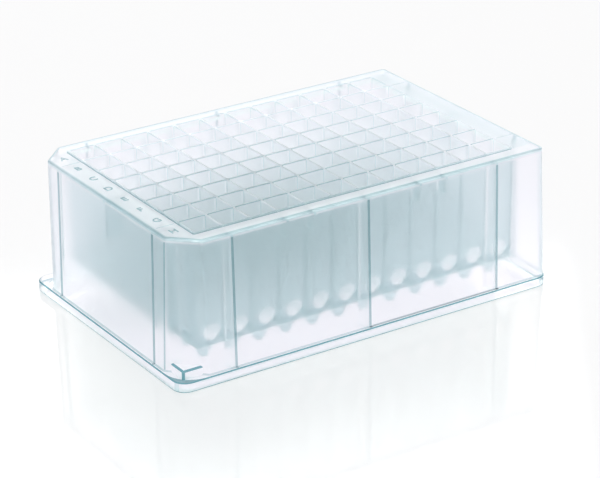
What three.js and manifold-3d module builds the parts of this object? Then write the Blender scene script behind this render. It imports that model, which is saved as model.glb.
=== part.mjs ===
// A deep-well plate: 96 square wells and their skirt, moulded in one piece of polypropylene.
//
// Frame: millimetres, +Z up, z = 0 on the surface that the flange stands on. X runs along the
// columns 1 to 12, Y along the rows, with row A at +Y. The two corners of column 1 are cut.
import * as THREE from 'three';
import { mergeVertices } from 'three/addons/utils/BufferGeometryUtils.js';
import Module from 'manifold-3d';

const wasm = await Module();
wasm.setup();

// ---------------------------------------------------------------- driving dimensions

// Outer form
const footprintLength = 127.76;
const footprintWidth = 85.48;
const plateHeight = 44;
const flangeHeight = 3;
const flangeCornerRadius = 4;
const flangeLedge = 1; // flange's side in to the foot of the skirt
const skirtDraftDegrees = 1.25;
const skirtWall = 1.3;
const skirtCornerRadius = 1.3;
const cornerCut = 9.2; // each leg of the two cut corners at the foot of the skirt; the cuts stand upright

// Deck
const deckThickness = 1.5;
const deckBorderLength = 7; // least deck beyond the wells at each short side
const deckBorderWidth = 3.6; // and at each long side

// Underside, which drops over the deck of another plate
const stackDepth = 1.6;
const stackClearance = 0.25;
const stackCutRadius = 5.5; // its corners under the two cuts

// Corner key on the flange beside well H1
const keyHeight = 2.7;
const keyInset = 1.4; // from the two skirt faces that it stands between

// Wells
const wellPitch = 9;
const wellWidth = 8.2; // at the mouth
const wellFootWidth = 7.9; // where the conical bottom begins
const wellCorner = 0.6; // leg of the cut across each corner of the square
const wellRise = 0.4; // mouths above the deck
const wellBorderWall = 0.6; // outermost wall, outside the mouths
const wellFootHeight = 12.6; // where the conical bottom begins
const coneTipHeight = 3.7; // lowest point of a well, outside
const coneFloor = 0.9; // wall of the conical bottom
const coneTipRadius = 0.5; // inside
const sleeveFootHeight = 9; // lower edge of the walls between the wells
const sleeveWall = 0.8; // those walls below the conical bottoms

// Ribs between the wells and the skirt
const ribThickness = 1;
const gussetDrop = 6.4; // long sides, below the deck's top
const sideGussetDrop = 12.5; // short sides, below the deck's top

// ---------------------------------------------------------------- worked out from them

const deckTop = plateHeight - wellRise;
const deckUnderside = deckTop - deckThickness;

const flangeHalf = new THREE.Vector2(footprintLength, footprintWidth).multiplyScalar(0.5);
const skirtFootHalf = flangeHalf.clone().subScalar(flangeLedge);
const skirtSlope = Math.tan(THREE.MathUtils.degToRad(skirtDraftDegrees));
const deckHalf = skirtHalfAt(deckTop);
const stackHalf = deckHalf.clone().addScalar(stackClearance);

const columns = Math.floor((2 * deckHalf.x - 2 * deckBorderLength) / wellPitch);
const rows = Math.floor((2 * deckHalf.y - 2 * deckBorderWidth) / wellPitch);
const mouthMargin = wellWidth / 2 + wellBorderWall - wellPitch / 2;
const blockHalf = new THREE.Vector2(columns, rows).multiplyScalar(wellPitch / 2).addScalar(mouthMargin);

const coneFloorHeight = coneTipHeight + coneFloor;
const coneSlope = (wellFootHeight - coneFloorHeight) / (wellFootWidth / 2 - coneTipRadius);
const coneDrop = coneFloor * Math.hypot(1, coneSlope);

const octagonCut = 2 - Math.SQRT2; // corner cut that makes a square of half-width 1 a regular octagon
const arcSteps = 4; // flats round each rounded corner of the plate
const sharpestRadius = 0.2; // what is left of a rounded corner set in by more than its radius
const overlap = 0.2; // how far joined solids run into each other
const clearOfPart = 1; // how far cutters run out of the part

/** Half-size of the skirt's outside at a height. */
function skirtHalfAt(z) {
  return skirtFootHalf.clone().subScalar((z - flangeHeight) * skirtSlope);
}

/** Height of the conical bottom's outer face at a distance from the well's axis. */
function coneOuterHeight(radius) {
  return wellFootHeight - coneDrop + coneSlope * (radius - wellFootWidth / 2);
}

/** Distance from the well's axis of the conical bottom's outer face at a height. */
function coneOuterRadius(z) {
  return wellFootWidth / 2 + (z - wellFootHeight + coneDrop) / coneSlope;
}

// ---------------------------------------------------------------- outlines

/** A corner of an outline cut straight across, with this leg. */
function cutCorner(leg) {
  return { size: leg, steps: 1 };
}

/** A rounded corner of an outline, once the outline is set in by this much. */
function roundCorner(radius, setIn) {
  return { size: Math.max(radius - setIn, sharpestRadius), steps: arcSteps };
}

/** Points round a rectangle, anticlockwise; corners go +X+Y, -X+Y, -X-Y, +X-Y. */
function outline(half, corners) {
  const points = [];
  corners.forEach(({ size, steps }, quarter) => {
    const signX = quarter === 0 || quarter === 3 ? 1 : -1;
    const signY = quarter < 2 ? 1 : -1;
    const start = (quarter * Math.PI) / 2;
    const centreX = signX * (half.x - size);
    const centreY = signY * (half.y - size);
    points.push(...new THREE.ArcCurve(centreX, centreY, size, start, start + Math.PI / 2, false).getPoints(steps));
  });
  return points;
}

/** The flange's outline. */
function flangeOutline() {
  return outline(flangeHalf, Array(4).fill(roundCorner(flangeCornerRadius, 0)));
}

/** Outline of the space under the flange that takes another plate's deck. */
function stackOutline() {
  const round = roundCorner(skirtCornerRadius, -stackClearance);
  const wide = roundCorner(stackCutRadius, 0);
  return outline(stackHalf, [round, wide, wide, round]);
}

/** The skirt's outline at a height, or one set in from it: cut at column 1, rounded at the other end. */
function skirtOutline(z, setIn) {
  // Moving a 45 degree cut in by a wall shortens its legs by (2 - sqrt 2) of the wall.
  const cut = cutCorner(cornerCut - 2 * (z - flangeHeight) * skirtSlope - octagonCut * setIn);
  const round = roundCorner(skirtCornerRadius, setIn);
  return outline(skirtHalfAt(z).subScalar(setIn), [round, cut, cut, round]);
}

/** A square with four cut corners, about a well's axis. */
function wellOutline(halfWidth, cut) {
  return outline(new THREE.Vector2(halfWidth, halfWidth), Array(4).fill(cutCorner(cut)));
}

// ---------------------------------------------------------------- solids

/** Closed solid through convex outlines of equal point counts, each at its own height, lowest first. */
function loft(sections) {
  const count = sections[0].points.length;
  const positions = sections.flatMap(({ z, points }) => points.flatMap((point) => [point.x, point.y, z]));
  const index = [];
  for (let level = 0; level + 1 < sections.length; level += 1) {
    for (let i = 0; i < count; i += 1) {
      const a = level * count + i;
      const b = level * count + ((i + 1) % count);
      index.push(a, b, b + count, a, b + count, a + count);
    }
  }
  const last = (sections.length - 1) * count;
  for (let i = 1; i + 1 < count; i += 1) {
    index.push(0, i + 1, i);
    index.push(last, last + i, last + i + 1);
  }
  const geometry = new THREE.BufferGeometry();
  geometry.setAttribute('position', new THREE.Float32BufferAttribute(positions, 3));
  geometry.setIndex(index);
  return toSolid(geometry);
}

/** Straight solid over one outline. */
function prism(points, fromZ, toZ) {
  return loft([{ z: fromZ, points }, { z: toZ, points }]);
}

/** Box between two corners. */
function block(low, high) {
  const size = high.clone().sub(low);
  const middle = high.clone().add(low).multiplyScalar(0.5);
  return toSolid(new THREE.BoxGeometry(size.x, size.y, size.z).translate(middle.x, middle.y, middle.z));
}

function toSolid(geometry) {
  geometry.deleteAttribute('normal');
  geometry.deleteAttribute('uv');
  const merged = mergeVertices(geometry);
  const vertProperties = new Float32Array(merged.attributes.position.array);
  const triVerts = new Uint32Array(merged.index.array);
  return new wasm.Manifold(new wasm.Mesh({ numProp: 3, vertProperties, triVerts }));
}

function toGeometry(solid) {
  const mesh = solid.getMesh();
  const geometry = new THREE.BufferGeometry();
  geometry.setAttribute('position', new THREE.Float32BufferAttribute(mesh.vertProperties, 3));
  geometry.setIndex(Array.from(mesh.triVerts));
  geometry.computeVertexNormals();
  return geometry;
}

function join(solids) {
  return solids.reduce((whole, solid) => whole.add(solid));
}

// ---------------------------------------------------------------- skirt, flange and deck

/** The skirt's outside, or its inside when set in by the wall, between two heights. */
function skirtSolid(setIn, fromZ, toZ) {
  return loft([
    { z: fromZ, points: skirtOutline(fromZ, setIn) },
    { z: toZ, points: skirtOutline(toZ, setIn) },
  ]);
}

function makeShell() {
  const flange = prism(flangeOutline(), 0, flangeHeight);
  const skirt = skirtSolid(0, flangeHeight - overlap, deckTop);
  const hollow = skirtSolid(skirtWall, stackDepth - overlap, deckUnderside);
  const recess = prism(stackOutline(), -clearOfPart, stackDepth);
  return join([flange, skirt, makeCornerKey()]).subtract(hollow).subtract(recess);
}

/** Low block that fills the corner in front of the cut at H1, standing on the flange. */
function makeCornerKey() {
  const keyHalf = skirtFootHalf.clone().subScalar(keyInset);
  const reach = cornerCut;
  const low = new THREE.Vector3(-keyHalf.x, -keyHalf.y, flangeHeight - overlap);
  const high = new THREE.Vector3(-keyHalf.x + reach, -keyHalf.y + reach, flangeHeight + keyHeight);
  const behindCut = skirtSolid(skirtWall / 2, flangeHeight - clearOfPart, deckTop);
  return block(low, high).subtract(behindCut);
}

// ---------------------------------------------------------------- ribs

/** X or Y of the wall that has this many wells before it, in a row of so many wells. */
function wallLine(wellsBefore, wellsInRow) {
  return (wellsBefore - wellsInRow / 2) * wellPitch;
}

/** Plate from the wells out to the skirt, on one side of the part, down to a height. */
function rib(alongX, at, side, footZ) {
  const inner = (alongX ? blockHalf.y : blockHalf.x) - wellBorderWall / 2;
  const topZ = deckUnderside + overlap;
  const [footOuter, topOuter] = [footZ, topZ].map((z) => skirtHalfAt(z).getComponent(alongX ? 1 : 0) - skirtWall / 2);
  const half = ribThickness / 2;
  const profile = new THREE.Shape();
  profile.moveTo(inner, footZ);
  profile.lineTo(footOuter, footZ);
  profile.lineTo(topOuter, topZ);
  profile.lineTo(inner, topZ);
  profile.closePath();
  const plate = new THREE.ExtrudeGeometry(profile, { depth: ribThickness, bevelEnabled: false });
  plate.translate(0, 0, -half).rotateX(Math.PI / 2);
  plate.rotateZ((alongX ? Math.PI / 2 : 0) + (side < 0 ? Math.PI : 0));
  plate.translate(alongX ? at : 0, alongX ? 0 : at, 0);
  return toSolid(plate);
}

function makeRibs() {
  const ribs = [];
  const longWalls = [1, columns / 2, columns - 1];
  const longGussets = [3, 4, columns - 4, columns - 3];
  const shortWalls = [1, rows - 1];
  for (const side of [-1, 1]) {
    longWalls.forEach((wall) => ribs.push(rib(true, wallLine(wall, columns), side, stackDepth)));
    longGussets.forEach((wall) => ribs.push(rib(true, wallLine(wall, columns), side, deckTop - gussetDrop)));
    shortWalls.forEach((wall) => ribs.push(rib(false, wallLine(wall, rows), side, stackDepth)));
    ribs.push(rib(false, 0, side, deckTop - sideGussetDrop));
  }
  return ribs;
}

// ---------------------------------------------------------------- wells

/** Square wall block that holds the wells, up to their mouths. */
function makeWellBlock() {
  const low = new THREE.Vector3(-blockHalf.x, -blockHalf.y, sleeveFootHeight);
  const high = new THREE.Vector3(blockHalf.x, blockHalf.y, plateHeight);
  return block(low, high);
}

/** Space inside one well: a tapered square that narrows to a small flat tip. */
function makeCavity() {
  const mouthHalf = wellWidth / 2;
  const footHalf = wellFootWidth / 2;
  const taper = (mouthHalf - footHalf) / (plateHeight - wellFootHeight);
  return loft([
    { z: coneFloorHeight, points: wellOutline(coneTipRadius, octagonCut * coneTipRadius) },
    { z: wellFootHeight, points: wellOutline(footHalf, wellCorner) },
    { z: plateHeight + clearOfPart, points: wellOutline(mouthHalf + taper * clearOfPart, wellCorner) },
  ]);
}

/** Outside of one conical bottom, which runs up into the walls round it. */
function makeConeShell() {
  const tip = coneOuterRadius(coneTipHeight);
  const top = (wellPitch - sleeveWall) / 2 + overlap;
  return loft([
    { z: coneTipHeight, points: wellOutline(tip, octagonCut * tip) },
    { z: coneOuterHeight(top), points: wellOutline(top, wellCorner) },
  ]);
}

/** Pocket round a conical bottom, open below, between the walls that run on down past it. */
function makeSleevePocket() {
  const half = (wellPitch - sleeveWall) / 2;
  return prism(wellOutline(half, wellCorner), sleeveFootHeight - clearOfPart, coneOuterHeight(half));
}

/** One copy of a solid at each well. */
function atEachWell(solid) {
  const copies = [];
  for (let column = 0; column < columns; column += 1) {
    for (let row = 0; row < rows; row += 1) {
      const x = (column - (columns - 1) / 2) * wellPitch;
      const y = ((rows - 1) / 2 - row) * wellPitch;
      copies.push(solid.translate(x, y, 0));
    }
  }
  return copies;
}

// ---------------------------------------------------------------- the part

function makeWellPlate() {
  const wells = makeWellBlock().subtract(join(atEachWell(makeSleevePocket())));
  const body = join([makeShell(), wells, ...makeRibs(), ...atEachWell(makeConeShell())]);
  return body.subtract(join(atEachWell(makeCavity())));
}

const polypropylene = new THREE.MeshStandardMaterial({
  color: 0xc9dade,
  roughness: 0.35,
  metalness: 0,
  transparent: true,
  opacity: 0.6,
});

const wellPlate = new THREE.Mesh(toGeometry(makeWellPlate()), polypropylene);
wellPlate.name = 'well_plate';

const part = new THREE.Group();
part.add(wellPlate);

export default part;
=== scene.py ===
"""A deep-well plate: 96 square wells in one moulding of translucent polypropylene.

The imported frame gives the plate's outer size. Every other size is in millimetres, from the plate's
own origin: the middle of its footprint, on the surface that it stands on, with +Z up, the columns
of wells numbered along +X and row A at +Y.
"""

import logging
import math
from collections.abc import Iterable, Sequence
from dataclasses import dataclass, field, replace
from enum import Enum

import bmesh
import bpy
from mathutils import Euler, Matrix, Vector

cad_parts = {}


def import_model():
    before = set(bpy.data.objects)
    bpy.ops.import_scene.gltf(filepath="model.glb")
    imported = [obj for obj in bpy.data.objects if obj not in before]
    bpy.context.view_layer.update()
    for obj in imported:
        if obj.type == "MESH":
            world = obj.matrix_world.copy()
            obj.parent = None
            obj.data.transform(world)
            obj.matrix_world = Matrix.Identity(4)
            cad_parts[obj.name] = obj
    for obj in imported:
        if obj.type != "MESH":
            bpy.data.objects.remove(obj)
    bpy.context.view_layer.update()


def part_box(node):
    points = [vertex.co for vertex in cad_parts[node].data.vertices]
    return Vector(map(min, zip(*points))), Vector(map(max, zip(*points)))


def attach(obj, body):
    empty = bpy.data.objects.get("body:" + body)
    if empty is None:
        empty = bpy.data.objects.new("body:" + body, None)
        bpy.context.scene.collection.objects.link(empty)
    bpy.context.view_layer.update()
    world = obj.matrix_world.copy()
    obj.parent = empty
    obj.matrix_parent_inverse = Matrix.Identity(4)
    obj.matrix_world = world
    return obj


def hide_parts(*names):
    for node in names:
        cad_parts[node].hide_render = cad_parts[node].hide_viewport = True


LOG = logging.getLogger("well_plate")
MM = 0.001
PLATE_NODE = "well_plate"
ROOT_BODY = "root"

EIGHTH_TURN = math.pi / 4
ARC_STEPS = 4  # flats in an eighth of a turn
EDGE_STEPS = 4  # flats round an edge
SOFT_STEPS = 3  # flats round a fillet or a small edge
RIM_STEPS = 2  # flats round the rim of the block of wells
CONE_STEPS = 7  # flats down a conical bottom
ROUND_LEG = 2 - math.sqrt(2)  # leg of the 45 degree cut that touches a rounded corner of radius 1
SHARPEST = 0.05  # radius left on a corner that is set in by more than its radius
OVERLAP = 0.2  # how far joined bodies run into each other
CLEAR = 1.0  # how far cutting bodies run out of the plate
PROUD = 0.02  # how far a mark stands proud of the face that carries it
WELD = 0.002  # points of a letter nearer than this are one
TURN_LINE = (math.radians(8), math.radians(37))  # where a side turns enough to bend light away

SHADE = "shade"  # face attribute: above 0 painted shade, a darker tint where light bends away at edges, joins and lines; below 0 milky plastic, also used to paint pale spots and bands

GRAIN_DETAIL = 3.0
WHITE = (1.0, 1.0, 1.0, 1.0)

Point = tuple[float, float]
Colour = tuple[float, float, float]
Feed = float | tuple[float, ...] | bpy.types.NodeSocket


class Join(Enum):
    """What a body does to the plate."""

    ADD = "UNION"
    REMOVE = "DIFFERENCE"


Step = tuple[Join, bpy.types.Object]


# ------------------------------------------------------------------------------ outlines


@dataclass(frozen=True)
class Corner:
    """A corner cut at 45 degrees, with both ends of the cut rounded.

    A plain rounded corner is the one whose two arcs meet in the middle of the cut.
    """

    leg: float
    radius: float

    @classmethod
    def rounded(cls, radius: float) -> "Corner":
        """A plain rounded corner."""
        return cls(ROUND_LEG * radius, radius)

    def set_in(self, depth: float) -> "Corner":
        """The same corner once the sides that it joins move in.

        Args:
            depth: How far the sides move in; less than nothing moves them out.

        Returns:
            The corner between the moved sides.
        """
        radius = max(self.radius - depth, SHARPEST)
        return Corner(max(self.leg - ROUND_LEG * depth, ROUND_LEG * radius), radius)

    def points(self, half_x: float, half_y: float) -> list[Point]:
        """Points round the +X +Y corner of a rectangle, anticlockwise.

        Args:
            half_x: Half the rectangle's size along X.
            half_y: Half its size along Y.

        Returns:
            The points of the two arcs.
        """
        back = self.leg + self.radius * math.tan(EIGHTH_TURN / 2)
        first = (half_x - self.radius, half_y - back)
        second = (half_x - back, half_y - self.radius)
        points = []
        for eighth, (x, y) in enumerate((first, second)):
            for step in range(ARC_STEPS + 1):
                angle = (eighth + step / ARC_STEPS) * EIGHTH_TURN
                points.append((x + self.radius * math.cos(angle), y + self.radius * math.sin(angle)))
        return points


@dataclass(frozen=True)
class Outline:
    """A rectangle about the origin, its corners in the order +X+Y, -X+Y, -X-Y, +X-Y."""

    half_x: float
    half_y: float
    corners: tuple[Corner, Corner, Corner, Corner]

    @classmethod
    def rounded(cls, half_x: float, half_y: float, radius: float) -> "Outline":
        """A rectangle with four like rounded corners."""
        return cls(half_x, half_y, (Corner.rounded(radius),) * 4)

    def set_in(self, depth: float) -> "Outline":
        """The outline moved in by a depth on every side."""
        corners = tuple(corner.set_in(depth) for corner in self.corners)
        return Outline(self.half_x - depth, self.half_y - depth, corners)

    def points(self) -> list[Point]:
        """All its points, anticlockwise.

        Returns:
            The points of the four corners, in their order.
        """
        turns = ((1, 1), (-1, 1), (-1, -1), (1, -1))
        points = []
        for corner, (sign_x, sign_y) in zip(self.corners, turns):
            quarter = corner.points(self.half_x, self.half_y)
            if sign_x * sign_y < 0:
                quarter.reverse()
            points += [(sign_x * x, sign_y * y) for x, y in quarter]
        return points


@dataclass(frozen=True)
class Section:
    """One level of a loft, with the painted shade of the band from there to the next."""

    z: float
    points: list[Point]
    shade: float = 0.0
    turn_shade: float = 0.0
    end_shade: float | None = None

    def band_shade(self, side: int) -> float:
        """Painted shade of one side of the band.

        Args:
            side: Number of the side, which starts at the point of that number.

        Returns:
            The end shade on the sides that face along X, the turn shade where a side starts to turn
            away from them, and else the band's own.
        """
        (x0, y0), (x1, y1) = self.points[side], self.points[(side + 1) % len(self.points)]
        turned = math.atan2(abs(x1 - x0), abs(y1 - y0))
        if TURN_LINE[0] < turned < TURN_LINE[1]:
            return self.turn_shade
        if turned <= TURN_LINE[0] and self.end_shade is not None:
            return self.end_shade
        return self.shade


def rounded_edge(
    outline: Outline, z: float, radius: float, upward: bool, steps: int = EDGE_STEPS, shade: float = 0.0
) -> list[Section]:
    """Sections of a rounded edge where a wall meets a flat end.

    Args:
        outline: The wall's outline beside the edge.
        z: Height of the flat end.
        radius: Radius of the edge.
        upward: Whether the flat end is the upper one.
        steps: Flats round the edge.
        shade: Painted shade of the edge.

    Returns:
        The sections, lowest first.
    """
    levels = []
    for step in range(steps + 1):
        angle = step / steps * math.pi / 2
        inward = radius * (1 - math.cos(angle))
        down = radius * (1 - math.sin(angle))
        levels.append((z - down if upward else z + down, outline.set_in(inward).points()))
    if not upward:
        levels.reverse()
    sections = [Section(level, points, shade, shade) for level, points in levels[:-1]]
    return [*sections, Section(*levels[-1])]


# ------------------------------------------------------------------------------ bodies


class Body:
    """A closed mesh, in millimetres, made of parts that stay clear of each other."""

    def __init__(self, name: str) -> None:
        """Starts an empty body.

        Args:
            name: Name of the object that it becomes.
        """
        self.name = name
        self.mesh = bmesh.new()
        self.shades = self.mesh.faces.layers.float.new(SHADE)

    def band(
        self, first: list[bmesh.types.BMVert], second: list[bmesh.types.BMVert]
    ) -> list[bmesh.types.BMFace]:
        """Adds the faces between two rings of equal point counts.

        Args:
            first: One ring.
            second: The other one.

        Returns:
            The faces, in the order of the rings' sides.
        """
        corners = zip(first, first[1:] + first[:1], second[1:] + second[:1], second)
        return [self.mesh.faces.new(four) for four in corners]

    def loft(self, sections: Sequence[Section], at: Point = (0.0, 0.0), foot_shade: float = 0.0) -> "Body":
        """Adds a closed solid through outlines of equal point counts.

        Args:
            sections: Heights and outlines, lowest first.
            at: Where the outlines' origin goes.
            foot_shade: Shade of the lower end.

        Returns:
            This body.
        """
        rings = []
        for section in sections:
            rings.append([self.mesh.verts.new((x + at[0], y + at[1], section.z)) for x, y in section.points])
        for section, lower, upper in zip(sections, rings, rings[1:]):
            for side, face in enumerate(self.band(lower, upper)):
                face[self.shades] = section.band_shade(side)
        self.mesh.faces.new(rings[0][::-1])[self.shades] = foot_shade
        self.mesh.faces.new(rings[-1])[self.shades] = sections[-1].shade
        return self

    def slab(
        self,
        profile: Sequence[Point],
        along_x: bool,
        at: float,
        thickness: float,
        side: int,
        shade: float = 0.0,
        face_shade: float = 0.0,
    ) -> None:
        """Adds an upright plate that runs out from the middle of the part.

        Args:
            profile: Distances out and heights round the plate's face.
            along_x: Whether the plate is one of a row along X, and so runs out along Y.
            at: Its place along that row.
            thickness: Its thickness.
            side: 1 for the positive side of the part, -1 for the other.
            shade: Shade of its edges.
            face_shade: Shade of its two faces.
        """
        faces = []
        for offset in (-thickness / 2, thickness / 2):
            ring = []
            for out, z in profile:
                x, y = (at + offset, side * out) if along_x else (side * out, at + offset)
                ring.append(self.mesh.verts.new((x, y, z)))
            faces.append(ring)
        near, far = faces
        for face in self.band(near, far):
            face[self.shades] = shade
        self.mesh.faces.new(near[::-1])[self.shades] = face_shade
        self.mesh.faces.new(far)[self.shades] = face_shade

    def boss(
        self, outline: Sequence[Point], at: Point, low: float, high: float, side: int, shade: float
    ) -> None:
        """Adds a flat boss on an upright face that looks along Y.

        Args:
            outline: Places along the face and up it, from the boss's middle.
            at: Place of the boss's middle along the face, and its height.
            low: Distance of its inner end from the middle of the part.
            high: Distance of its outer end.
            side: 1 for the positive side of the part, -1 for the other.
            shade: Shade of its outer end.
        """
        rings = []
        for out in (low, high):
            rings.append([self.mesh.verts.new((at[0] + x, side * out, at[1] + z)) for x, z in outline])
        inner, outer = rings
        self.band(inner, outer)
        self.mesh.faces.new(inner[::-1])
        self.mesh.faces.new(outer)[self.shades] = shade

    def to_object(self) -> bpy.types.Object:
        """Turns the body into a Blender object, in metres, its faces pointing out.

        Returns:
            The object. The body is used up.
        """
        bmesh.ops.recalc_face_normals(self.mesh, faces=self.mesh.faces)
        bmesh.ops.scale(self.mesh, vec=(MM, MM, MM), verts=self.mesh.verts)
        mesh = bpy.data.meshes.new(self.name)
        self.mesh.to_mesh(mesh)
        self.mesh.free()
        return add_object(self.name, mesh)


def add_object(name: str, data: bpy.types.ID) -> bpy.types.Object:
    """Adds an object to the scene.

    Args:
        name: Its name.
        data: The mesh, camera or lamp that it shows.

    Returns:
        The object.
    """
    item = bpy.data.objects.new(name, data)
    bpy.context.scene.collection.objects.link(item)
    return item


# ------------------------------------------------------------------------------ the moulding


@dataclass(frozen=True)
class Envelope:
    """The plate's outer form, which all the rest is set out from."""

    length: float
    width: float
    height: float
    flange_height: float = 3.0
    flange_ledge: float = 1.0
    flange_radius: float = 4.0
    skirt_draft: float = math.radians(1.25)
    skirt_wall: float = 1.3
    skirt_radius: float = 1.3
    corner_cut: float = 9.2
    corner_cut_radius: float = 1.4
    deck_thickness: float = 1.5
    well_rise: float = 0.4
    stack_depth: float = 1.6
    stack_clearance: float = 0.25
    stack_cut_radius: float = 5.5

    @classmethod
    def of_node(cls, node: str) -> "Envelope":
        """The form of a node of the frame.

        Args:
            node: The node's name.

        Returns:
            The form, with the node's outer size.
        """
        low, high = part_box(node)
        length, width, height = ((b - a) / MM for a, b in zip(low, high))
        return cls(length, width, height)

    @property
    def deck_top(self) -> float:
        """Height of the deck round the wells."""
        return self.height - self.well_rise

    @property
    def deck_underside(self) -> float:
        """Height of the deck's lower face."""
        return self.deck_top - self.deck_thickness

    def half(self, along_x: bool) -> float:
        """Half the footprint, out from a row along X or from one along Y."""
        return (self.width if along_x else self.length) / 2

    def flange(self) -> Outline:
        """The flange's outline."""
        return Outline.rounded(self.length / 2, self.width / 2, self.flange_radius)

    def stack(self) -> Outline:
        """Outline of the space under the flange that takes the deck of a plate below.

        Returns:
            The outline, its corners wide below the skirt's cuts.
        """
        inward = self.skirt_set_in(self.deck_top) - self.stack_clearance
        narrow = Corner.rounded(self.skirt_radius + self.stack_clearance)
        wide = Corner.rounded(self.stack_cut_radius)
        return Outline(self.length / 2 - inward, self.width / 2 - inward, (narrow, wide, wide, narrow))

    def skirt_set_in(self, z: float) -> float:
        """How far the skirt's outside stands in from the flange's side at a height."""
        return self.flange_ledge + (z - self.flange_height) * math.tan(self.skirt_draft)

    def face(self, along_x: bool, z: float) -> float:
        """Distance of the skirt's outside from the middle at a height, out from such a row."""
        return self.half(along_x) - self.skirt_set_in(z)

    def skirt(self, z: float, set_in: float = 0.0) -> Outline:
        """The skirt's outline at a height, or one inside it.

        Args:
            z: The height.
            set_in: How far inside; less than nothing is outside.

        Returns:
            The outline, cut upright at column 1 and rounded at the other end.
        """
        inward = self.skirt_set_in(z)
        rounded = Corner.rounded(self.skirt_radius)
        cut = Corner(self.corner_cut - 2 * (inward - self.flange_ledge), self.corner_cut_radius)
        outline = Outline(self.length / 2 - inward, self.width / 2 - inward, (rounded, cut, cut, rounded))
        return outline.set_in(set_in)


@dataclass
class Shell:
    """Flange, skirt and deck, with the hollow below the deck."""

    envelope: Envelope
    flange_edge: float = 0.3
    foot_edge: float = 0.3
    foot_fillet: float = 0.4
    deck_edge: float = 0.4
    deck_fillet: float = 1.0
    # Shades above 0 are painted shade: darker lines and bands along the foot, the flange's edge, the fillet,
    # the corners, the crescent at H1 and the deck's edge and side. The milks make the deck top and the low
    # part of the deck's side milky, and so paler.
    line_shade: float = 1.0
    foot_shade: float = 1.0
    fillet_shade: float = 0.5
    hollow_radius: float = 8.5
    hollow_shade: float = 0.9
    deck_shade: float = 0.6
    band_milk: float = 0.42
    band_shade: float = 0.3
    deck_milk: float = 0.3
    deck_ring: float = 0.4
    deck_ring_shade: float = 0.35
    turn_shade: float = 0.65
    corner_shade: float = 0.35

    @property
    def band_middle(self) -> float:
        """Height where the deck's side, seen from outside, turns from milky and paler to painted shade."""
        return (self.envelope.deck_underside + self.envelope.deck_top - self.deck_edge) / 2

    def bodies(self) -> list[Step]:
        """The shell's outside, and the spaces cut from it.

        Returns:
            What each body does, in order.
        """
        return [
            (Join.ADD, self.outside()),
            (Join.REMOVE, self.hollow()),
            (Join.REMOVE, self.recess()),
            (Join.REMOVE, self.corner_hollow()),
        ]

    def outside(self) -> bpy.types.Object:
        """The whole outer form, solid.

        Returns:
            The body.
        """
        form = self.envelope
        flange = form.flange()
        # Painted shade lines along the flange's foot and top edge, the skirt's foot fillet and the skirt's
        # corners.
        sections = rounded_edge(flange, 0.0, self.foot_edge, upward=False, shade=self.foot_shade)
        sections[-1] = replace(sections[-1], turn_shade=self.corner_shade)
        ledge, line = form.flange_height, self.line_shade
        sections += rounded_edge(flange, ledge, self.flange_edge, upward=True, shade=line)
        fillet_top = ledge + self.foot_fillet
        for step in range(SOFT_STEPS, 0, -1):
            angle = step / SOFT_STEPS * math.pi / 2
            out = self.foot_fillet * (1 - math.cos(angle))
            z = fillet_top - self.foot_fillet * math.sin(angle)
            sections.append(Section(z, form.skirt(z, -out).points(), self.fillet_shade, self.fillet_shade))
        sections.append(Section(fillet_top, form.skirt(fillet_top).points(), 0.0, self.turn_shade))
        # The deck's side, seen from outside: milky and so paler low down, painted shade higher up.
        for z, shade in ((form.deck_underside, -self.band_milk), (self.band_middle, self.band_shade)):
            sections.append(Section(z, form.skirt(z).points(), shade, shade))
        top = form.skirt(form.deck_top)
        # Painted shade round the deck's edge and in a ring just inside it; the deck top within is milky.
        sections += rounded_edge(top, form.deck_top, self.deck_edge, upward=True, shade=self.deck_shade)
        ring = self.deck_ring_shade
        sections[-1] = replace(sections[-1], shade=ring, turn_shade=ring)
        inner = top.set_in(self.deck_edge + self.deck_ring).points()
        sections.append(Section(form.deck_top, inner, -self.deck_milk))
        return Body("shell").loft(sections).to_object()

    def hollow(self) -> bpy.types.Object:
        """The space inside the skirt, up to the deck.

        Returns:
            The body.
        """
        form = self.envelope
        top = form.deck_underside
        wall = form.skirt_wall
        start = form.stack_depth - OVERLAP
        sections = [Section(start, form.skirt(start, wall).points())]
        inside = form.skirt(top, wall)
        sections += rounded_edge(inside, top, self.deck_fillet, upward=True, steps=SOFT_STEPS)
        return Body("hollow").loft(sections).to_object()

    def corner_hollow(self) -> bpy.types.Object:
        """The shallow crescent on the ledge at well H1, over the wide corner of the space below, whose floor
        carries painted shade.

        Returns:
            The body.
        """
        form = self.envelope
        rim = form.flange().set_in(self.flange_edge)
        outer = rim.corners[2].points(rim.half_x, rim.half_y)
        inner = Corner.rounded(self.hollow_radius).points(rim.half_x, rim.half_y)
        points = [(-x, -y) for x, y in (*outer, *inner[::-1])]
        levels = (form.flange_height - PROUD, form.flange_height + CLEAR)
        sections = [Section(z, points) for z in levels]
        return Body("corner_hollow").loft(sections, foot_shade=self.hollow_shade).to_object()

    def recess(self) -> bpy.types.Object:
        """The step under the flange that takes the deck of a plate below.

        Returns:
            The body.
        """
        outline = self.envelope.stack().points()
        sections = [Section(z, outline) for z in (-CLEAR, self.envelope.stack_depth)]
        return Body("recess").loft(sections).to_object()


@dataclass(frozen=True)
class Spot:
    """A painted highlight: a milky disc on the block's long sides, where a well's round bottom gathers
    light.
    """

    radius: float
    rise: float
    proud: float
    milk: float


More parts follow.
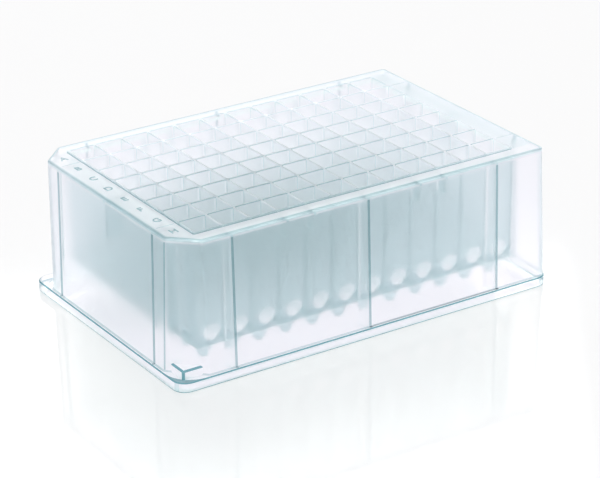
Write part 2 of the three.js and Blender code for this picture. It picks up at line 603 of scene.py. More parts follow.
@dataclass
class Wells:
    """The square wells, their conical bottoms and the walls between them."""

    envelope: Envelope
    columns: int = 12
    rows: int = 8
    pitch: float = 9.0
    mouth: float = 8.2
    foot: float = 7.9
    corner: float = 0.7
    border_wall: float = 0.6
    border_radius: float = 0.6
    mouth_edge: float = 0.2
    border_edge: float = 0.3
    foot_height: float = 12.6
    tip_height: float = 3.7
    tip_radius: float = 0.5
    tip_edge: float = 0.35
    tip_edge_middle: float = 0.35  # how far up and in that edge's middle is, as a share of its size
    floor_half: float = 0.6  # the flat floor inside, as a share of the tip's radius
    floor_rise: float = 0.25  # rise of the floor's edge, as a share of it
    cone_wall: float = 0.9
    sleeve_foot: float = 9.0
    sleeve_wall: float = 0.8
    round_by: float = 0.45
    near_shades: tuple[float, float] = (0.52, 0.38)  # painted shade on the block's foot and sides, by column 1 and row H
    far_shades: tuple[float, float] = (0.15, 0.04)  # lighter painted shade on the same, by column 12 and row A
    # Painted highlights: milky discs low on the long sides, where the round well bottoms gather light.
    spots: tuple[Spot, ...] = (
        Spot(2.6, 0.4, 2 * PROUD, 0.03),
        Spot(1.8, -0.2, 3 * PROUD, 0.08),
        Spot(1.1, -0.7, 4 * PROUD, 0.18),
    )
    # Painted shade on the conical tips and the block's rim, and as dark lines round the rim along column 1
    # and row H.
    tip_shade: float = 0.35
    rim_shade: float = 0.3
    line_shade: float = 0.75
    foot_line: float = 0.4
    mouth_shades: tuple[float, float] = (0.25, 0.6)  # painted shade on mouth edges that face along Y, at row A and at row H
    mouth_end_shades: tuple[float, float] = (0.35, -0.45)  # the same on edges that face along X; below 0 towards row H it is a milky painted highlight
    upper_depth: float = 4.0  # part of a well that is seen from in front, over the next wall
    # Painted shade on the upper well walls that face along X and on their corners.
    upper_end_shade: float = 0.05
    upper_corner_shade: float = 0.28
    # Painted shade on the deck along column 12 and row A, and how far inside the skirt's outside it stops.
    far_deck_shade: float = 0.14
    far_deck_inset: float = 0.85

    @property
    def half_x(self) -> float:
        """Half the length of the block of wells."""
        return ((self.columns - 1) * self.pitch + self.mouth) / 2 + self.border_wall

    @property
    def half_y(self) -> float:
        """Half its width."""
        return ((self.rows - 1) * self.pitch + self.mouth) / 2 + self.border_wall

    @property
    def tip_floor(self) -> float:
        """Height of the lowest point inside a well."""
        return self.tip_height + self.cone_wall

    @property
    def slope(self) -> float:
        """Rise of the conical bottom for each millimetre out."""
        return (self.foot_height - self.tip_floor) / (self.foot / 2 - self.tip_radius)

    @property
    def cone_drop(self) -> float:
        """Height of the conical wall, measured upright."""
        return self.cone_wall * math.hypot(1, self.slope)

    def outer_radius(self, z: float) -> float:
        """Distance of the conical wall's outside from the well's axis at a height."""
        return self.foot / 2 + (z - self.foot_height + self.cone_drop) / self.slope

    def outer_height(self, radius: float) -> float:
        """Height of the conical wall's outside at a distance from the well's axis."""
        return self.foot_height - self.cone_drop + self.slope * (radius - self.foot / 2)

    def places(self) -> Iterable[Point]:
        """The axis of each well.

        Yields:
            Its place, column by column.
        """
        for column in range(self.columns):
            for row in range(self.rows):
                yield (
                    (column - (self.columns - 1) / 2) * self.pitch,
                    ((self.rows - 1) / 2 - row) * self.pitch,
                )

    def wall_place(self, along_x: bool, wall: int) -> float:
        """Where the wall after so many wells of a row along X, or of one along Y, stands."""
        return (wall - (self.columns if along_x else self.rows) / 2) * self.pitch

    def border(self) -> Outline:
        """The block's outline."""
        return Outline.rounded(self.half_x, self.half_y, self.border_radius)

    def square(self, half: float, radius: float) -> list[Point]:
        """Points round a square with rounded corners."""
        return Outline.rounded(half, half, min(radius, half)).points()

    def bodies(self) -> list[Step]:
        """The block with its marks of painted shade and highlight, open below, and the conical walls.

        Returns:
            What each body does, in order.
        """
        pockets = self.each(self.pocket(), "pockets")
        parts = (self.block(), self.near_sides(), self.near_lines(), self.wall_ends(), *self.bottoms())
        block = assemble([*((Join.ADD, part) for part in parts), (Join.REMOVE, pockets)])
        return [(Join.ADD, block), (Join.ADD, self.each(self.cone(), "cones"))]

    def cavities(self) -> bpy.types.Object:
        """The space inside every well, with painted shade and highlight that fade from row H to row A.

        Returns:
            The spaces, as one object.
        """
        body = Body("cavities")
        for at in self.places():
            body.loft(self.cavity(0.5 - at[1] / (self.rows - 1) / self.pitch), at)
        return body.to_object()

    def each(self, sections: Sequence[Section], name: str) -> bpy.types.Object:
        """One loft at every well.

        Args:
            sections: The loft's sections, about a well's axis.
            name: Name of the object.

        Returns:
            The copies, as one object.
        """
        body = Body(name)
        for at in self.places():
            body.loft(sections, at)
        return body.to_object()

    def block(self) -> bpy.types.Object:
        """The square block that holds the wells, with painted shade on its sides and rim.

        Returns:
            The body.
        """
        form = self.envelope
        outline = self.border()
        rim = self.rim_shade
        foot, side = self.far_shades
        sections = [
            Section(self.sleeve_foot, outline.points(), foot, foot),
            Section(self.foot_height, outline.points(), side, side),
            Section(form.deck_top, outline.points(), rim, rim),
        ]
        sections += rounded_edge(outline, form.height, self.border_edge, True, RIM_STEPS, rim)
        return Body("block").loft(sections).to_object()

    def near_sides(self) -> bpy.types.Object:
        """The painted shade that makes the block's sides darker along column 1 and row H.

        Returns:
            The body.
        """
        outline = self.border().points()
        foot, side = self.near_shades
        sections = [
            Section(self.sleeve_foot + PROUD, outline, foot, foot),
            Section(self.foot_height, outline, side, side),
            Section(self.envelope.deck_underside + PROUD, outline),
        ]
        return Body("near_sides").loft(sections, (-PROUD, -PROUD)).to_object()

    def near_lines(self) -> bpy.types.Object:
        """The painted shade lines round the rim, on the deck and up the side, along column 1 and row H.

        Returns:
            The body.
        """
        form = self.envelope
        outline = self.border().points()
        shade = self.line_shade
        body = Body("near_lines")
        low, high = form.deck_top + PROUD, form.height - self.border_edge
        on_deck, up_side = (form.deck_top - OVERLAP, low), (low + PROUD, high)
        for out, (start, stop) in ((self.foot_line, on_deck), (PROUD, up_side)):
            sections = [Section(start, outline, shade, shade), Section(stop, outline, shade)]
            body.loft(sections, (-out, -out))
        return body.to_object()

    def far_deck(self) -> bpy.types.Object:
        """The part of the deck along column 12 and row A, not milky and darkened with painted shade.

        Returns:
            The body.
        """
        form = self.envelope
        near_x, near_y = self.half_x, self.half_y
        far = form.skirt(form.deck_top, self.far_deck_inset)
        points = [
            (-near_x, near_y),
            (near_x, near_y),
            (near_x, -near_y),
            (far.half_x, -near_y),
            (far.half_x, far.half_y),
            (-near_x, far.half_y),
        ]
        shade = self.far_deck_shade
        top = form.deck_top
        sections = [Section(top - OVERLAP, points), Section(top + PROUD, points, shade)]
        return Body("far_deck").loft(sections).to_object()

    def wall_ends(self) -> bpy.types.Object:
        """The clear ends of the walls between wells, just proud of the block's rim, where its painted shade
        stops.

        Returns:
            The body.
        """
        form = self.envelope
        low, high = form.deck_top - OVERLAP, form.height - self.border_edge
        body = Body("wall_ends")
        rows = (True, self.columns, self.half_y), (False, self.rows, self.half_x)
        for along_x, count, half in rows:
            inner, outer = half - self.border_wall / 2, half + 2 * PROUD
            profile = [(inner, low), (outer, low), (outer, high), (inner, high)]
            for wall in range(1, count):
                place = self.wall_place(along_x, wall)
                for side in (-1, 1):
                    body.slab(profile, along_x, place, self.pitch - self.mouth, side)
        return body.to_object()

    def bottoms(self) -> list[bpy.types.Object]:
        """The painted highlights, milky spots where the round well bottoms gather light low on the long
        sides, palest in the middle.

        Returns:
            A body for each of the discs that a spot is made of.
        """
        items = []
        for spot in self.spots:
            disc = Outline.rounded(spot.radius, spot.radius, spot.radius).points()
            low, high = self.half_y - self.border_wall / 2, self.half_y + spot.proud
            body = Body("bottoms")
            for well in range(self.columns):
                at = ((well - (self.columns - 1) / 2) * self.pitch, self.foot_height + spot.rise)
                for side in (-1, 1):
                    body.boss(disc, at, low, high, side, -spot.milk)
            items.append(body.to_object())
        return items

    def pocket(self) -> list[Section]:
        """The space round one conical bottom, open below.

        Returns:
            The sections, about the well's axis.
        """
        half = (self.pitch - self.sleeve_wall) / 2
        outline = self.square(half, self.corner)
        return [Section(self.sleeve_foot - CLEAR, outline), Section(self.outer_height(half), outline)]

    def cone(self) -> list[Section]:
        """The outside of one conical bottom, with painted shade that darkens towards its tip.

        Returns:
            The sections, about the well's axis.
        """
        top = (self.pitch - self.sleeve_wall) / 2 + OVERLAP
        start = self.outer_radius(self.tip_height)
        middle = self.tip_edge * self.tip_edge_middle
        shade = self.tip_shade
        sections = [
            Section(self.tip_height, self.square(start - self.tip_edge, start), shade, shade),
            Section(self.tip_height + middle, self.square(start - middle, start), shade, shade),
        ]
        for step in range(1, CONE_STEPS + 1):
            share = step / CONE_STEPS
            half = start + (top - start) * share
            outline = self.square(half, self.cone_corner(half, 1 - share))
            shade = self.tip_shade * (1 - share)
            sections.append(Section(self.outer_height(half), outline, shade, shade))
        return sections

    def cone_corner(self, half: float, depth: float) -> float:
        """Corner radius part of the way down a conical bottom.

        Args:
            half: Half the bottom's width there.
            depth: How far down it is, from 0 at its top to 1 at its tip.

        Returns:
            The radius, which is half the width once the bottom is round.
        """
        share = min(depth / self.round_by, 1.0)
        return self.corner + (half - self.corner) * share

    def cavity(self, nearness: float) -> list[Section]:
        """The space inside one well, with painted shade on its mouth's edges and upper walls, and a milky
        painted highlight on mouth edges that face along X towards row H.

        Args:
            nearness: Where its row lies, from 0 at row A to 1 at row H.

        Returns:
            The sections, about the well's axis.
        """
        mouth_side, mouth_end = (
            far + (near - far) * nearness for far, near in (self.mouth_shades, self.mouth_end_shades)
        )
        top = self.envelope.height
        mouth, foot, tip = self.mouth / 2, self.foot / 2, self.tip_radius
        start = self.tip_floor + tip * self.floor_rise
        sections = [
            Section(self.tip_floor, self.square(tip * self.floor_half, tip)),
            Section(start, self.square(tip, tip)),
        ]
        for step in range(CONE_STEPS - 1, -1, -1):
            depth = step / CONE_STEPS
            half = tip + (foot - tip) * (1 - depth)
            z = start + (self.foot_height - start) * (1 - depth)
            sections.append(Section(z, self.square(half, self.cone_corner(half, depth))))
        edge = self.mouth_edge
        low = top - self.upper_depth
        half = foot + (mouth - foot) * (low - self.foot_height) / (top - edge - self.foot_height)
        upper = self.square(half, self.corner)
        sections.append(Section(low, upper, 0.0, self.upper_corner_shade, self.upper_end_shade))
        outline = self.square(mouth, self.corner)
        sections.append(Section(top - edge, outline, mouth_side, 0.0, mouth_end))
        wide = self.square(mouth + edge, self.corner)
        return [*sections, Section(top, wide), Section(top + CLEAR, wide)]


@dataclass
class Ribs:
    """The upright plates that tie the wells to the skirt, and the short gussets under the deck."""

    envelope: Envelope
    wells: Wells
    thickness: float = 1.0
    gusset_drop: float = 6.4
    side_gusset_drop: float = 12.5
    first_gussets: tuple[int, int] = (3, 4)  # wells before the first two on a long side
    # Painted shade: on the ribs' and gussets' edges, on the gussets' faces as seen through the skirt, and on
    # the marks over the ribs, where light is lost into them.
    edge_shade: float = 0.1
    gusset_edge_shade: float = 0.45
    gusset_shade: float = 0.12
    sink_width: float = 0.8
    end_sink_width: float = 1.2
    sink_depth: float = 0.03
    sink_shade: float = 0.75
    band_gap: float = 0.5  # from the marks on the deck's side to the deck's top
    band_shade: float = 0.3
    deck_line: float = 0.35
    deck_line_shade: float = 0.5

    def rib_walls(self, along_x: bool) -> tuple[int, ...]:
        """The walls between wells that run on into a rib.

        Args:
            along_x: Whether the ribs stand in rows along X, at the long sides.

        Returns:
            The number of wells before each wall.
        """
        columns, rows = self.wells.columns, self.wells.rows
        return (1, columns // 2, columns - 1) if along_x else (1, rows - 1)

    def gusset_walls(self, along_x: bool) -> tuple[int, ...]:
        """The walls between wells that run on into a gusset.

        Args:
            along_x: Whether the gussets stand in rows along X, at the long sides.

        Returns:
            The number of wells before each wall.
        """
        if not along_x:
            return (self.wells.rows // 2,)
        last = tuple(self.wells.columns - wall for wall in reversed(self.first_gussets))
        return self.first_gussets + last

    def sinks(self) -> bpy.types.Object:
        """The shallow sink marks that ribs and gussets leave on the outside, darkened with painted shade.

        Returns:
            The marks, as one object.
        """
        form = self.envelope
        body = Body("sinks")
        on_skirt = (form.flange_height, form.deck_underside)
        on_band = (form.deck_underside, form.deck_top - self.band_gap)
        for side in (-1, 1):
            for along_x in (True, False):
                ribs = self.rib_walls(along_x)
                for wall in ribs:
                    self.sink(body, along_x, wall, side, on_skirt, self.sink_shade)
                    self.ledge_sink(body, along_x, wall, side)
                for wall in sorted(ribs + self.gusset_walls(along_x)):
                    self.sink(body, along_x, wall, side, on_band, self.band_shade)
            for wall in self.rib_walls(False):
                self.deck_sink(body, wall, side)
        return body.to_object()

    def sink(
        self, body: Body, along_x: bool, wall: int, side: int, span: tuple[float, float], shade: float
    ) -> None:
        """Adds one shallow upright mark on the skirt, over a rib, darkened with painted shade.

        Args:
            body: What it is added to.
            along_x: Whether it is on a long side.
            wall: Wells before the rib.
            side: 1 for the positive side, -1 for the other.
            span: Heights of its two ends.
            shade: Its painted shade.
        """
        form = self.envelope
        low, high = span
        low_face, high_face = form.face(along_x, low), form.face(along_x, high)
        profile = [
            (low_face - self.sink_depth, low),
            (low_face + form.flange_ledge / 2, low),
            (high_face + form.flange_ledge / 2, high),
            (high_face - self.sink_depth, high),
        ]
        width = self.sink_width if along_x else self.end_sink_width
        body.slab(profile, along_x, self.wells.wall_place(along_x, wall), width, side, shade)

    def ledge_sink(self, body: Body, along_x: bool, wall: int, side: int) -> None:
        """Adds the end of a rib's mark on the ledge of the flange, a dot of painted shade.

        Args:
            body: What it is added to.
            along_x: Whether it is on a long side.
            wall: Wells before the rib.
            side: 1 for the positive side, -1 for the other.
        """
        form = self.envelope
        far = form.half(along_x)
        near = far - form.flange_ledge - self.sink_depth
        low = form.flange_height - self.sink_depth
        profile = [(near, low), (far, low), (far, low + OVERLAP), (near, low + OVERLAP)]
        place = self.wells.wall_place(along_x, wall)
        body.slab(profile, along_x, place, self.sink_width, side, self.sink_shade)

    def deck_sink(self, body: Body, wall: int, side: int) -> None:
        """Adds the thin line of painted shade over a rib at a short side, across the deck.

        Args:
            body: What it is added to.
            wall: Wells before the rib.
            side: 1 for the positive side, -1 for the other.
        """
        form = self.envelope
        near = self.wells.half_x + 2 * self.wells.foot_line
        far = form.face(False, form.deck_top) - form.skirt_wall
        low, high = form.deck_top - self.sink_depth, form.deck_top + OVERLAP
        profile = [(near, low), (far, low), (far, high), (near, high)]
        place = self.wells.wall_place(False, wall)
        body.slab(profile, False, place, self.deck_line, side, self.deck_line_shade)

    def bodies(self) -> list[Step]:
        """All the ribs and gussets, as one body.

        Returns:
            What the body does.
        """
        form = self.envelope
        body = Body("ribs")
        for side in (-1, 1):
            for along_x, drop in ((True, self.gusset_drop), (False, self.side_gusset_drop)):
                for wall in self.rib_walls(along_x):
                    self.add(body, along_x, wall, side, form.stack_depth)
                for wall in self.gusset_walls(along_x):
                    self.add(body, along_x, wall, side, form.deck_top - drop)
        return [(Join.ADD, body.to_object())]

    def add(self, body: Body, along_x: bool, wall: int, side: int, foot: float) -> None:
        """Adds one rib, in line with a wall between wells.

        Args:
            body: What it is added to.
            along_x: Whether it stands on a long side.
            wall: Wells before that wall.
            side: 1 for the positive side, -1 for the other.
            foot: Height of the rib's lower edge.
        """
        form = self.envelope
        wells = self.wells
        inner = (wells.half_y if along_x else wells.half_x) - wells.border_wall / 2
        top = form.deck_underside + OVERLAP
        outer_foot, outer_top = (form.face(along_x, z) - form.skirt_wall / 2 for z in (foot, top))
        profile = [(inner, foot), (outer_foot, foot), (outer_top, top), (inner, top)]
        # Painted shade on a hanging gusset's edges and faces; a rib has it on its edges only.
        hangs = foot > form.stack_depth
        shades = (self.gusset_edge_shade, self.gusset_shade) if hangs else (self.edge_shade, 0.0)
        body.slab(profile, along_x, wells.wall_place(along_x, wall), self.thickness, side, *shades)


@dataclass
class CornerKey:
    """The low block in front of the cut corner at well H1."""

    envelope: Envelope
    height: float = 2.7
    inset: float = 1.4
    edge: float = 0.52
    # Painted shade on the key's edges.
    line_shade: float = 1.0

    def bodies(self) -> list[Step]:
        """The key, standing on the flange.

        Returns:
            What the body does.
        """
        form = self.envelope
        low = form.flange_height - OVERLAP
        high = form.flange_height + self.height
        foot = form.skirt(form.flange_height)
        x, y = (-foot.half_x + self.inset, -foot.half_y + self.inset)
        reach = form.corner_cut / 2
        line = self.line_shade
        outline = Outline.rounded(reach, reach, self.edge)
        sections = [Section(low, outline.points())]
        sections += rounded_edge(outline, high, self.edge, upward=True, steps=SOFT_STEPS, shade=line)
        key = Body("key").loft(sections, (x + reach, y + reach))
        # A post at the near corner whose side carries the painted shade of the key's upright edge.
        radius = self.edge + PROUD
        circle = Outline.rounded(radius, radius, radius).points()
        sections = [Section(low, circle, line, line), Section(high - self.edge, circle)]
        post = Body("key_edge").loft(sections, (x + self.edge, y + self.edge))
        ends, inward = (low - CLEAR, form.deck_top), form.skirt_wall / 2
        behind = Body("behind_cut").loft([Section(z, form.skirt(z, inward).points()) for z in ends])
        steps = [(Join.ADD, key), (Join.ADD, post), (Join.REMOVE, behind)]
        return [(Join.ADD, assemble([(join, body.to_object()) for join, body in steps]))]


@dataclass
class RowMarks:
    """The raised row letters on the deck, beside the wells."""

    envelope: Envelope
    wells: Wells
    letters: str = "ABCDEFGH"
    size: float = 3.5
    height: float = 0.12
    gap: float = 3.55
    boldness: float = 0.03
    curve_steps: int = 3
    # Painted shade on the raised letters.
    shade: float = 0.7

    def bodies(self) -> list[Step]:
        """One body for each letter."""
        return [(Join.ADD, self.letter(row, text)) for row, text in enumerate(self.letters)]

    def letter(self, row: int, text: str) -> bpy.types.Object:
        """One raised letter.

        Args:
            row: Its row, from 0.
            text: The letter.

        Returns:
            The letter, sunk a little into the deck.
        """
        wells = self.wells
        curve = bpy.data.curves.new("row_mark", "FONT")
        curve.body = text
        curve.align_x = curve.align_y = "CENTER"
        curve.size = self.size * MM
        curve.extrude = (self.height + OVERLAP) / 2 * MM
        curve.offset = self.boldness * MM
        curve.resolution_u = self.curve_steps
        source = bpy.data.objects.new("row_mark", curve)
        mesh = bpy.data.meshes.new_from_object(source)
        bpy.data.objects.remove(source)
        work = bmesh.new()
        work.from_mesh(mesh)
        bmesh.ops.remove_doubles(work, verts=work.verts, dist=WELD * MM)
        bmesh.ops.recalc_face_normals(work, faces=work.faces)
        x = -wells.half_x - self.gap
        y = ((wells.rows - 1) / 2 - row) * wells.pitch
        z = self.envelope.deck_top + (self.height - OVERLAP) / 2
        bmesh.ops.translate(work, vec=Vector((x, y, z)) * MM, verts=work.verts)
        # Every face of the letter carries the painted shade.
        shades = work.faces.layers.float.new(SHADE)
        for face in work.faces:
            face[shades] = self.shade
        work.to_mesh(mesh)
        work.free()
        return add_object("row_mark", mesh)


def assemble(steps: Sequence[Step]) -> bpy.types.Object:
    """Joins and cuts bodies in order.

    Args:
        steps: What each body does; the first one is what the rest work on.

    Returns:
        The result. The bodies are used up.
    """
    (_, base), *rest = steps
    for join, body in rest:
        modifier = base.modifiers.new(body.name, "BOOLEAN")
        modifier.operation = join.value
        modifier.solver = "MANIFOLD"
        modifier.object = body
    bpy.context.view_layer.update()
    shape = base.evaluated_get(bpy.context.evaluated_depsgraph_get())
    mesh = bpy.data.meshes.new_from_object(shape)
    base.modifiers.clear()
    base.data = mesh
    for _, body in rest:
        bpy.data.objects.remove(body)
    return base


# ------------------------------------------------------------------------------ finish


def feed(tree: bpy.types.NodeTree, node: bpy.types.Node, inputs: dict[str | int, Feed]) -> None:
    """Sets or links inputs of a node.

    Args:
        tree: The nodes that it is one of.
        node: The node.
        inputs: For each input, by name or number, its value or the socket that feeds it.
    """
    for key, value in inputs.items():
        if isinstance(value, bpy.types.NodeSocket):
            tree.links.new(value, node.inputs[key])
        else:
            node.inputs[key].default_value = value


def add_node(
    tree: bpy.types.NodeTree, kind: str, inputs: dict[str | int, Feed], **settings: str
) -> bpy.types.Node:
    """Adds a node.

    Args:
        tree: The nodes that it is added to.
        kind: Its type.
        inputs: For each input, by name or number, its value or the socket that feeds it.
        settings: Its other settings.

    Returns:
        The node.
    """
    node = tree.nodes.new(kind)
    for name, value in settings.items():
        setattr(node, name, value)
    feed(tree, node, inputs)
    return node


def stretch(
    tree: bpy.types.NodeTree, value: Feed, source: tuple[Feed, Feed], target: tuple[Feed, Feed]
) -> bpy.types.NodeSocket:
    """Carries one range of values over to another.

    Args:
        tree: The nodes that it is added to.
        value: What is carried over.
        source: The ends of the range that it comes from.
        target: The ends of the range that it goes to.

    Returns:
        The value in its new range, kept within the ends.
    """
    names = ("Value", "From Min", "From Max", "To Min", "To Max")
    inputs = dict(zip(names, (value, *source, *target)))
    return add_node(tree, "ShaderNodeMapRange", inputs).outputs["Result"]


def blend(tree: bpy.types.NodeTree, share: Feed, first: Feed, second: Feed) -> bpy.types.NodeSocket:
    """Mixes two colours.

    Args:
        tree: The nodes that it is added to.
        share: The second colour's share.
        first: The first colour.
        second: The second colour.

    Returns:
        The mix.
    """
    inputs = {"Factor": share, "A": first, "B": second}
    return add_node(tree, "ShaderNodeMix", inputs, data_type="RGBA").outputs["Result"]


def mix_shaders(
    tree: bpy.types.NodeTree, share: Feed, first: bpy.types.Node, second: bpy.types.Node
) -> bpy.types.Node:
    """Mixes two shaders.

    Args:
        tree: The nodes that it is added to.
        share: The second shader's share.
        first: The first shader.
        second: The second shader.

    Returns:
        The mix.
    """
    return add_node(tree, "ShaderNodeMixShader", {0: share, 1: first.outputs[0], 2: second.outputs[0]})


def fine_grain() -> bpy.types.ShaderNodeTree:
    """A node group with the fine unevenness of a moulded or painted surface.

    Returns:
        The group. It takes a place and a scale, and gives a level from 0 to 1.
    """
    name = "fine_grain"
    if name in bpy.data.node_groups:
        return bpy.data.node_groups[name]
    group = bpy.data.node_groups.new(name, "ShaderNodeTree")
    group.interface.new_socket("Vector", in_out="INPUT", socket_type="NodeSocketVector")
    group.interface.new_socket("Scale", in_out="INPUT", socket_type="NodeSocketFloat")
    group.interface.new_socket("Level", in_out="OUTPUT", socket_type="NodeSocketFloat")
    given = group.nodes.new("NodeGroupInput").outputs
    inputs = {"Vector": given["Vector"], "Scale": given["Scale"], "Detail": GRAIN_DETAIL}
    noise = add_node(group, "ShaderNodeTexNoise", inputs)
    add_node(group, "NodeGroupOutput", {"Level": noise.outputs["Fac"]})
    return group


def add_grain(
    tree: bpy.types.ShaderNodeTree, scale: float, strength: float, depth: float
) -> tuple[bpy.types.NodeSocket, bpy.types.NodeSocket]:
    """Adds the fine grain to a material.

    Args:
        tree: The material's nodes.
        scale: Grains in a metre.
        strength: Share of the grain's depth that shows.
        depth: The grain's depth, in metres.

    Returns:
        The grain's level, and the normal that it gives.
    """
    place = tree.nodes.new("ShaderNodeTexCoord").outputs["Object"]
    grain = tree.nodes.new("ShaderNodeGroup")
    grain.node_tree = fine_grain()
    feed(tree, grain, {"Vector": place, "Scale": scale})
    level = grain.outputs["Level"]
    bump = add_node(tree, "ShaderNodeBump", {"Strength": strength, "Distance": depth, "Height": level})
    return level, bump.outputs["Normal"]


@dataclass(frozen=True)
class Polypropylene:
    """Natural polypropylene with a fine matt texture: light comes through it, and outlines blur. The shade
    attribute paints shade on it or makes it milky.
    """

    name: str = "natural_polypropylene"
    # Colours by shade: milky below 0, clear at 0, painted shade above 0.
    milk_and_painted_shade_tints: tuple[tuple[float, Colour], ...] = (
        (-1.0, (0.86, 0.855, 0.9)),
        (0.0, (1.0, 1.0, 1.0)),
        (0.3, (0.7, 0.82, 0.83)),
        (1.0, (0.05, 0.2, 0.24)),
    )
    roughness: float = 0.34
    roughness_spread: float = 0.03
    shaded_roughness: float = 0.7
    full_haze: float = 0.4
    ior: float = 1.15
    transmission: float = 1.0
    absorption: Colour = (0.0, 0.46, 0.5)
    density: float = 8.5
    grain_scale: float = 700.0
    grain_strength: float = 0.12
    grain_depth: float = 0.00002

    def material(self) -> bpy.types.Material:
        """The finish as a Blender material: clear plastic, tinted darker with painted shade where the shade
        is above 0, and milky plastic where it is below 0.

        Returns:
            The material.
        """
        material = bpy.data.materials.new(self.name)
        material.use_nodes = True
        tree = material.node_tree
        shade = add_node(tree, "ShaderNodeAttribute", {}, attribute_name=SHADE).outputs["Fac"]
        level, normal = add_grain(tree, self.grain_scale, self.grain_strength, self.grain_depth)
        inputs = {
            "IOR": self.ior,
            "Normal": normal,
            "Base Color": self.colour(tree, shade),
            "Roughness": self.haze(tree, shade, level),
        }
        clear = tree.nodes["Principled BSDF"]
        feed(tree, clear, {**inputs, "Transmission Weight": self.transmission})
        milky = add_node(tree, "ShaderNodeBsdfPrincipled", inputs)
        surface = mix_shaders(tree, stretch(tree, shade, (0.0, -1.0), (0.0, 1.0)), clear, milky)
        inputs = {"Color": (*self.absorption, 1.0), "Density": self.density}
        volume = add_node(tree, "ShaderNodeVolumeAbsorption", inputs)
        ends = {"Surface": surface.outputs["Shader"], "Volume": volume.outputs["Volume"]}
        feed(tree, tree.nodes["Material Output"], ends)
        return material

    def colour(self, tree: bpy.types.ShaderNodeTree, shade: bpy.types.NodeSocket) -> bpy.types.NodeSocket:
        """Adds the colour, from milky through clear to painted shade.

        Args:
            tree: The material's nodes.
            shade: The shade.

        Returns:
            The colour.
        """
        along = stretch(tree, shade, (-1.0, 1.0), (0.0, 1.0))
        ramp = add_node(tree, "ShaderNodeValToRGB", {"Fac": along})
        stops = ramp.color_ramp.elements
        for at, _ in self.milk_and_painted_shade_tints[1:-1]:
            stops.new((at + 1) / 2)
        for stop, (_, tint) in zip(stops, self.milk_and_painted_shade_tints):
            stop.color = (*tint, 1.0)
        return ramp.outputs["Color"]

    def haze(
        self, tree: bpy.types.ShaderNodeTree, shade: bpy.types.NodeSocket, level: bpy.types.NodeSocket
    ) -> bpy.types.NodeSocket:
        """Adds the roughness, which varies with the grain and rises where the plastic is milky or shaded.

        Args:
            tree: The material's nodes.
            shade: The shade.
            level: The grain's level.

        Returns:
            The roughness.
        """
        middle, spread = self.roughness, self.roughness_spread
        plain = stretch(tree, level, (0.0, 1.0), (middle - spread, middle + spread))
        depth = add_node(tree, "ShaderNodeMath", {0: shade}, operation="ABSOLUTE").outputs["Value"]
        return stretch(tree, depth, (0.0, self.full_haze), (plain, self.shaded_roughness))


@dataclass
class WellPlate:
    """The whole moulding, dressed."""

    envelope: Envelope
    finish: Polypropylene = field(default_factory=Polypropylene)
    crease: float = math.radians(32)

    def build(self) -> bpy.types.Object:
        """Makes the moulding and gives it its finish.

        Returns:
            The moulding.
        """
        wells = Wells(self.envelope)
        ribs = Ribs(self.envelope, wells)
        steps = Shell(self.envelope).bodies()
        steps.append((Join.ADD, wells.far_deck()))
        steps.append((Join.REMOVE, ribs.sinks()))
        steps += wells.bodies()
        steps += ribs.bodies()
        steps += CornerKey(self.envelope).bodies()
        steps += RowMarks(self.envelope, wells).bodies()
        steps.append((Join.REMOVE, wells.cavities()))
        plate = assemble(steps)
        plate.name = "well_plate_moulding"
        plate.data.name = plate.name
        plate.data.shade_smooth()
        plate.data.set_sharp_from_angle(angle=self.crease)
        plate.data.materials.clear()
        plate.data.materials.append(self.finish.material())
        return plate


# ------------------------------------------------------------------------------ studio


@dataclass(frozen=True)
class Camera:
    """A long lens, low in front of the corner at well H1."""

    aim: tuple[float, float, float] = (-3.485, -10.502, 19.906)
    distance: float = 743.89
    sensor: float = 36.0
    clip: tuple[float, float] = (0.01, 20.0)  # in metres
    azimuth: float = -32.778
    elevation: float = 23.979
    roll: float = -0.797
    lens: float = 152.84

    def build(self) -> bpy.types.Object:
        """Makes the scene's camera.

        Returns:
            The camera.
        """
        data = bpy.data.cameras.new("camera")
        data.lens = self.lens
        data.sensor_width = self.sensor
        data.clip_start, data.clip_end = self.clip
        turn = Euler((math.radians(90 - self.elevation), 0.0, math.radians(self.azimuth))).to_matrix()
        turn = turn @ Matrix.Rotation(math.radians(self.roll), 3, "Z")
        place = Vector(self.aim) * MM + turn @ Vector((0, 0, self.distance * MM))
        camera = add_object("camera", data)
        camera.matrix_world = Matrix.Translation(place) @ turn.to_4x4()
        bpy.context.scene.camera = camera
        return camera


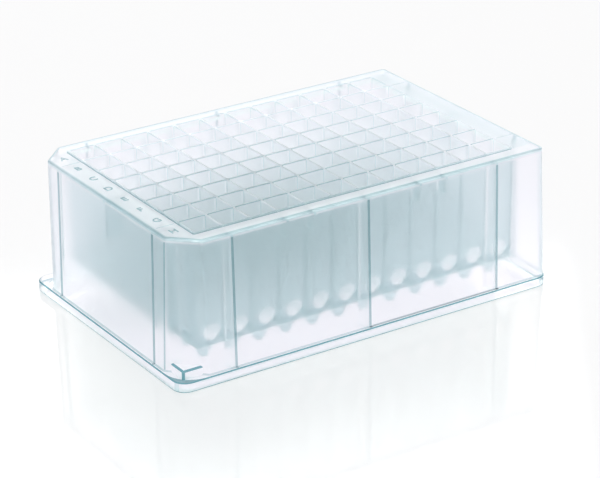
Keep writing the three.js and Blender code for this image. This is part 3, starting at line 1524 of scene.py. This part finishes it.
@dataclass
class Studio:
    """A white table and a soft surround, white where the camera sees it. Its sizes are in metres."""

    table_size: float = 6.0
    table_gap: float = 0.00005
    table_colour: Colour = (0.95, 0.95, 0.96)
    table_roughness: tuple[float, float] = (0.5, 0.7)
    table_gloss: float = 0.07
    # Painted shade: a soft pool under the plate on the table, which all light but the camera's meets.
    table_shaded: Colour = (0.35, 0.44, 0.46)
    table_open: Colour = (0.98, 0.955, 1.03)
    shade_middle: tuple[float, float, float] = (-0.008, 0.015, 0.0)
    shade_reach: tuple[float, float, float] = (0.06, 0.04, 1.0)
    lit_share: float = 0.27
    mirror_share: float = 0.2
    grain_scale: float = 150.0
    grain_strength: float = 0.1
    grain_depth: float = 0.00005
    surround_left: Colour = (0.71, 0.715, 0.7)
    surround_right: Colour = (1.05, 1.035, 1.06)
    key_place: tuple[float, float, float] = (-0.9, -0.5, 1.3)
    back_place: tuple[float, float, float] = (0.6, 1.2, 1.1)
    lamp_size: float = 0.9
    lamp_power: float = 4.0
    bounces: int = 64
    diffuse_bounces: int = 32

    def build(self) -> None:
        """Makes the table, the surround and the lamps, and lets light go far through the plate."""
        self.table()
        self.surround()
        self.lamp("key", self.key_place)
        self.lamp("back", self.back_place)
        scene = bpy.context.scene
        scene.view_settings.view_transform = "Standard"
        cycles = scene.cycles
        cycles.max_bounces = cycles.transmission_bounces = cycles.glossy_bounces = self.bounces
        cycles.diffuse_bounces = self.diffuse_bounces
        cycles.blur_glossy = 0.0

    def table(self) -> None:
        """The white table that the plate stands on."""
        half = self.table_size / 2
        corners = [(x * half, y * half, -self.table_gap) for x, y in ((-1, -1), (1, -1), (1, 1), (-1, 1))]
        mesh = bpy.data.meshes.new("table")
        mesh.from_pydata(corners, [], [(0, 1, 2, 3)])
        mesh.materials.append(self.table_finish())
        add_object("table", mesh)

    def table_finish(self) -> bpy.types.Material:
        """White and a little glossy, with a painted pool of shade under the plate that all light but the
        camera's meets.

        Returns:
            The material.
        """
        material = bpy.data.materials.new("white_table")
        material.use_nodes = True
        tree = material.node_tree
        shader = tree.nodes["Principled BSDF"]
        level, normal = add_grain(tree, self.grain_scale, self.grain_strength, self.grain_depth)
        roughness = stretch(tree, level, (0.0, 1.0), self.table_roughness)
        inputs = {"Base Color": (*self.table_colour, 1.0), "Normal": normal, "Roughness": roughness}
        feed(tree, shader, inputs)
        # The painted pool of shade under the plate, for all light but the camera's.
        place = tree.nodes.new("ShaderNodeTexCoord").outputs["Object"]
        inputs = {"Vector": place, "Location": self.shade_middle, "Scale": self.shade_reach}
        under = add_node(tree, "ShaderNodeMapping", inputs, vector_type="TEXTURE")
        inputs = {"Vector": under.outputs["Vector"]}
        pool = add_node(tree, "ShaderNodeTexGradient", inputs, gradient_type="SPHERICAL")
        through = blend(tree, pool.outputs["Fac"], (*self.table_open, 1.0), (*self.table_shaded, 1.0))
        camera = tree.nodes.new("ShaderNodeLightPath").outputs["Is Camera Ray"]
        glow = add_node(tree, "ShaderNodeEmission", {"Color": blend(tree, camera, through, WHITE)})
        share = add_node(tree, "ShaderNodeMath", {0: camera, 1: self.lit_share}, operation="MULTIPLY")
        lit = mix_shaders(tree, share.outputs["Value"], glow, shader)
        mirror = add_node(tree, "ShaderNodeBsdfGlossy", {"Roughness": self.table_gloss})
        whole = mix_shaders(tree, self.mirror_share, lit, mirror)
        feed(tree, tree.nodes["Material Output"], {"Surface": whole.outputs["Shader"]})
        return material

    def surround(self) -> None:
        """The surround: white to the camera and in gloss, and as light a little dimmer on the left."""
        world = bpy.data.worlds.new("surround")
        world.use_nodes = True
        tree = world.node_tree
        path = tree.nodes.new("ShaderNodeLightPath").outputs
        rays = {0: path["Is Camera Ray"], 1: path["Is Glossy Ray"]}
        seen = add_node(tree, "ShaderNodeMath", rays, operation="MAXIMUM").outputs["Value"]
        direction = tree.nodes.new("ShaderNodeTexCoord").outputs["Generated"]
        axes = add_node(tree, "ShaderNodeSeparateXYZ", {"Vector": direction})
        across = stretch(tree, axes.outputs["X"], (-1.0, 1.0), (0.0, 1.0))
        light = blend(tree, across, (*self.surround_left, 1.0), (*self.surround_right, 1.0))
        feed(tree, tree.nodes["Background"], {"Color": blend(tree, seen, light, WHITE)})
        bpy.context.scene.world = world

    def lamp(self, name: str, place: tuple[float, float, float]) -> None:
        """Adds a soft square lamp that points at the plate.

        Args:
            name: The lamp's name.
            place: Where it hangs.
        """
        data = bpy.data.lights.new(name, "AREA")
        data.size = self.lamp_size
        data.energy = self.lamp_power
        lamp = add_object(name, data)
        lamp.location = place
        lamp.rotation_euler = (-Vector(place)).to_track_quat("-Z", "Y").to_euler()


def main() -> None:
    """Builds the plate and its studio, and reports each piece."""
    logging.basicConfig(level=logging.INFO, format="%(name)s: %(message)s")
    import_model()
    Camera().build()
    plate = WellPlate(Envelope.of_node(PLATE_NODE)).build()
    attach(plate, ROOT_BODY)
    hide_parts(PLATE_NODE)
    triangles = sum(len(face.vertices) - 2 for face in plate.data.polygons)
    LOG.info("%s: %d triangles", plate.name, triangles)
    Studio().build()


if __name__ == "__main__":
    main()
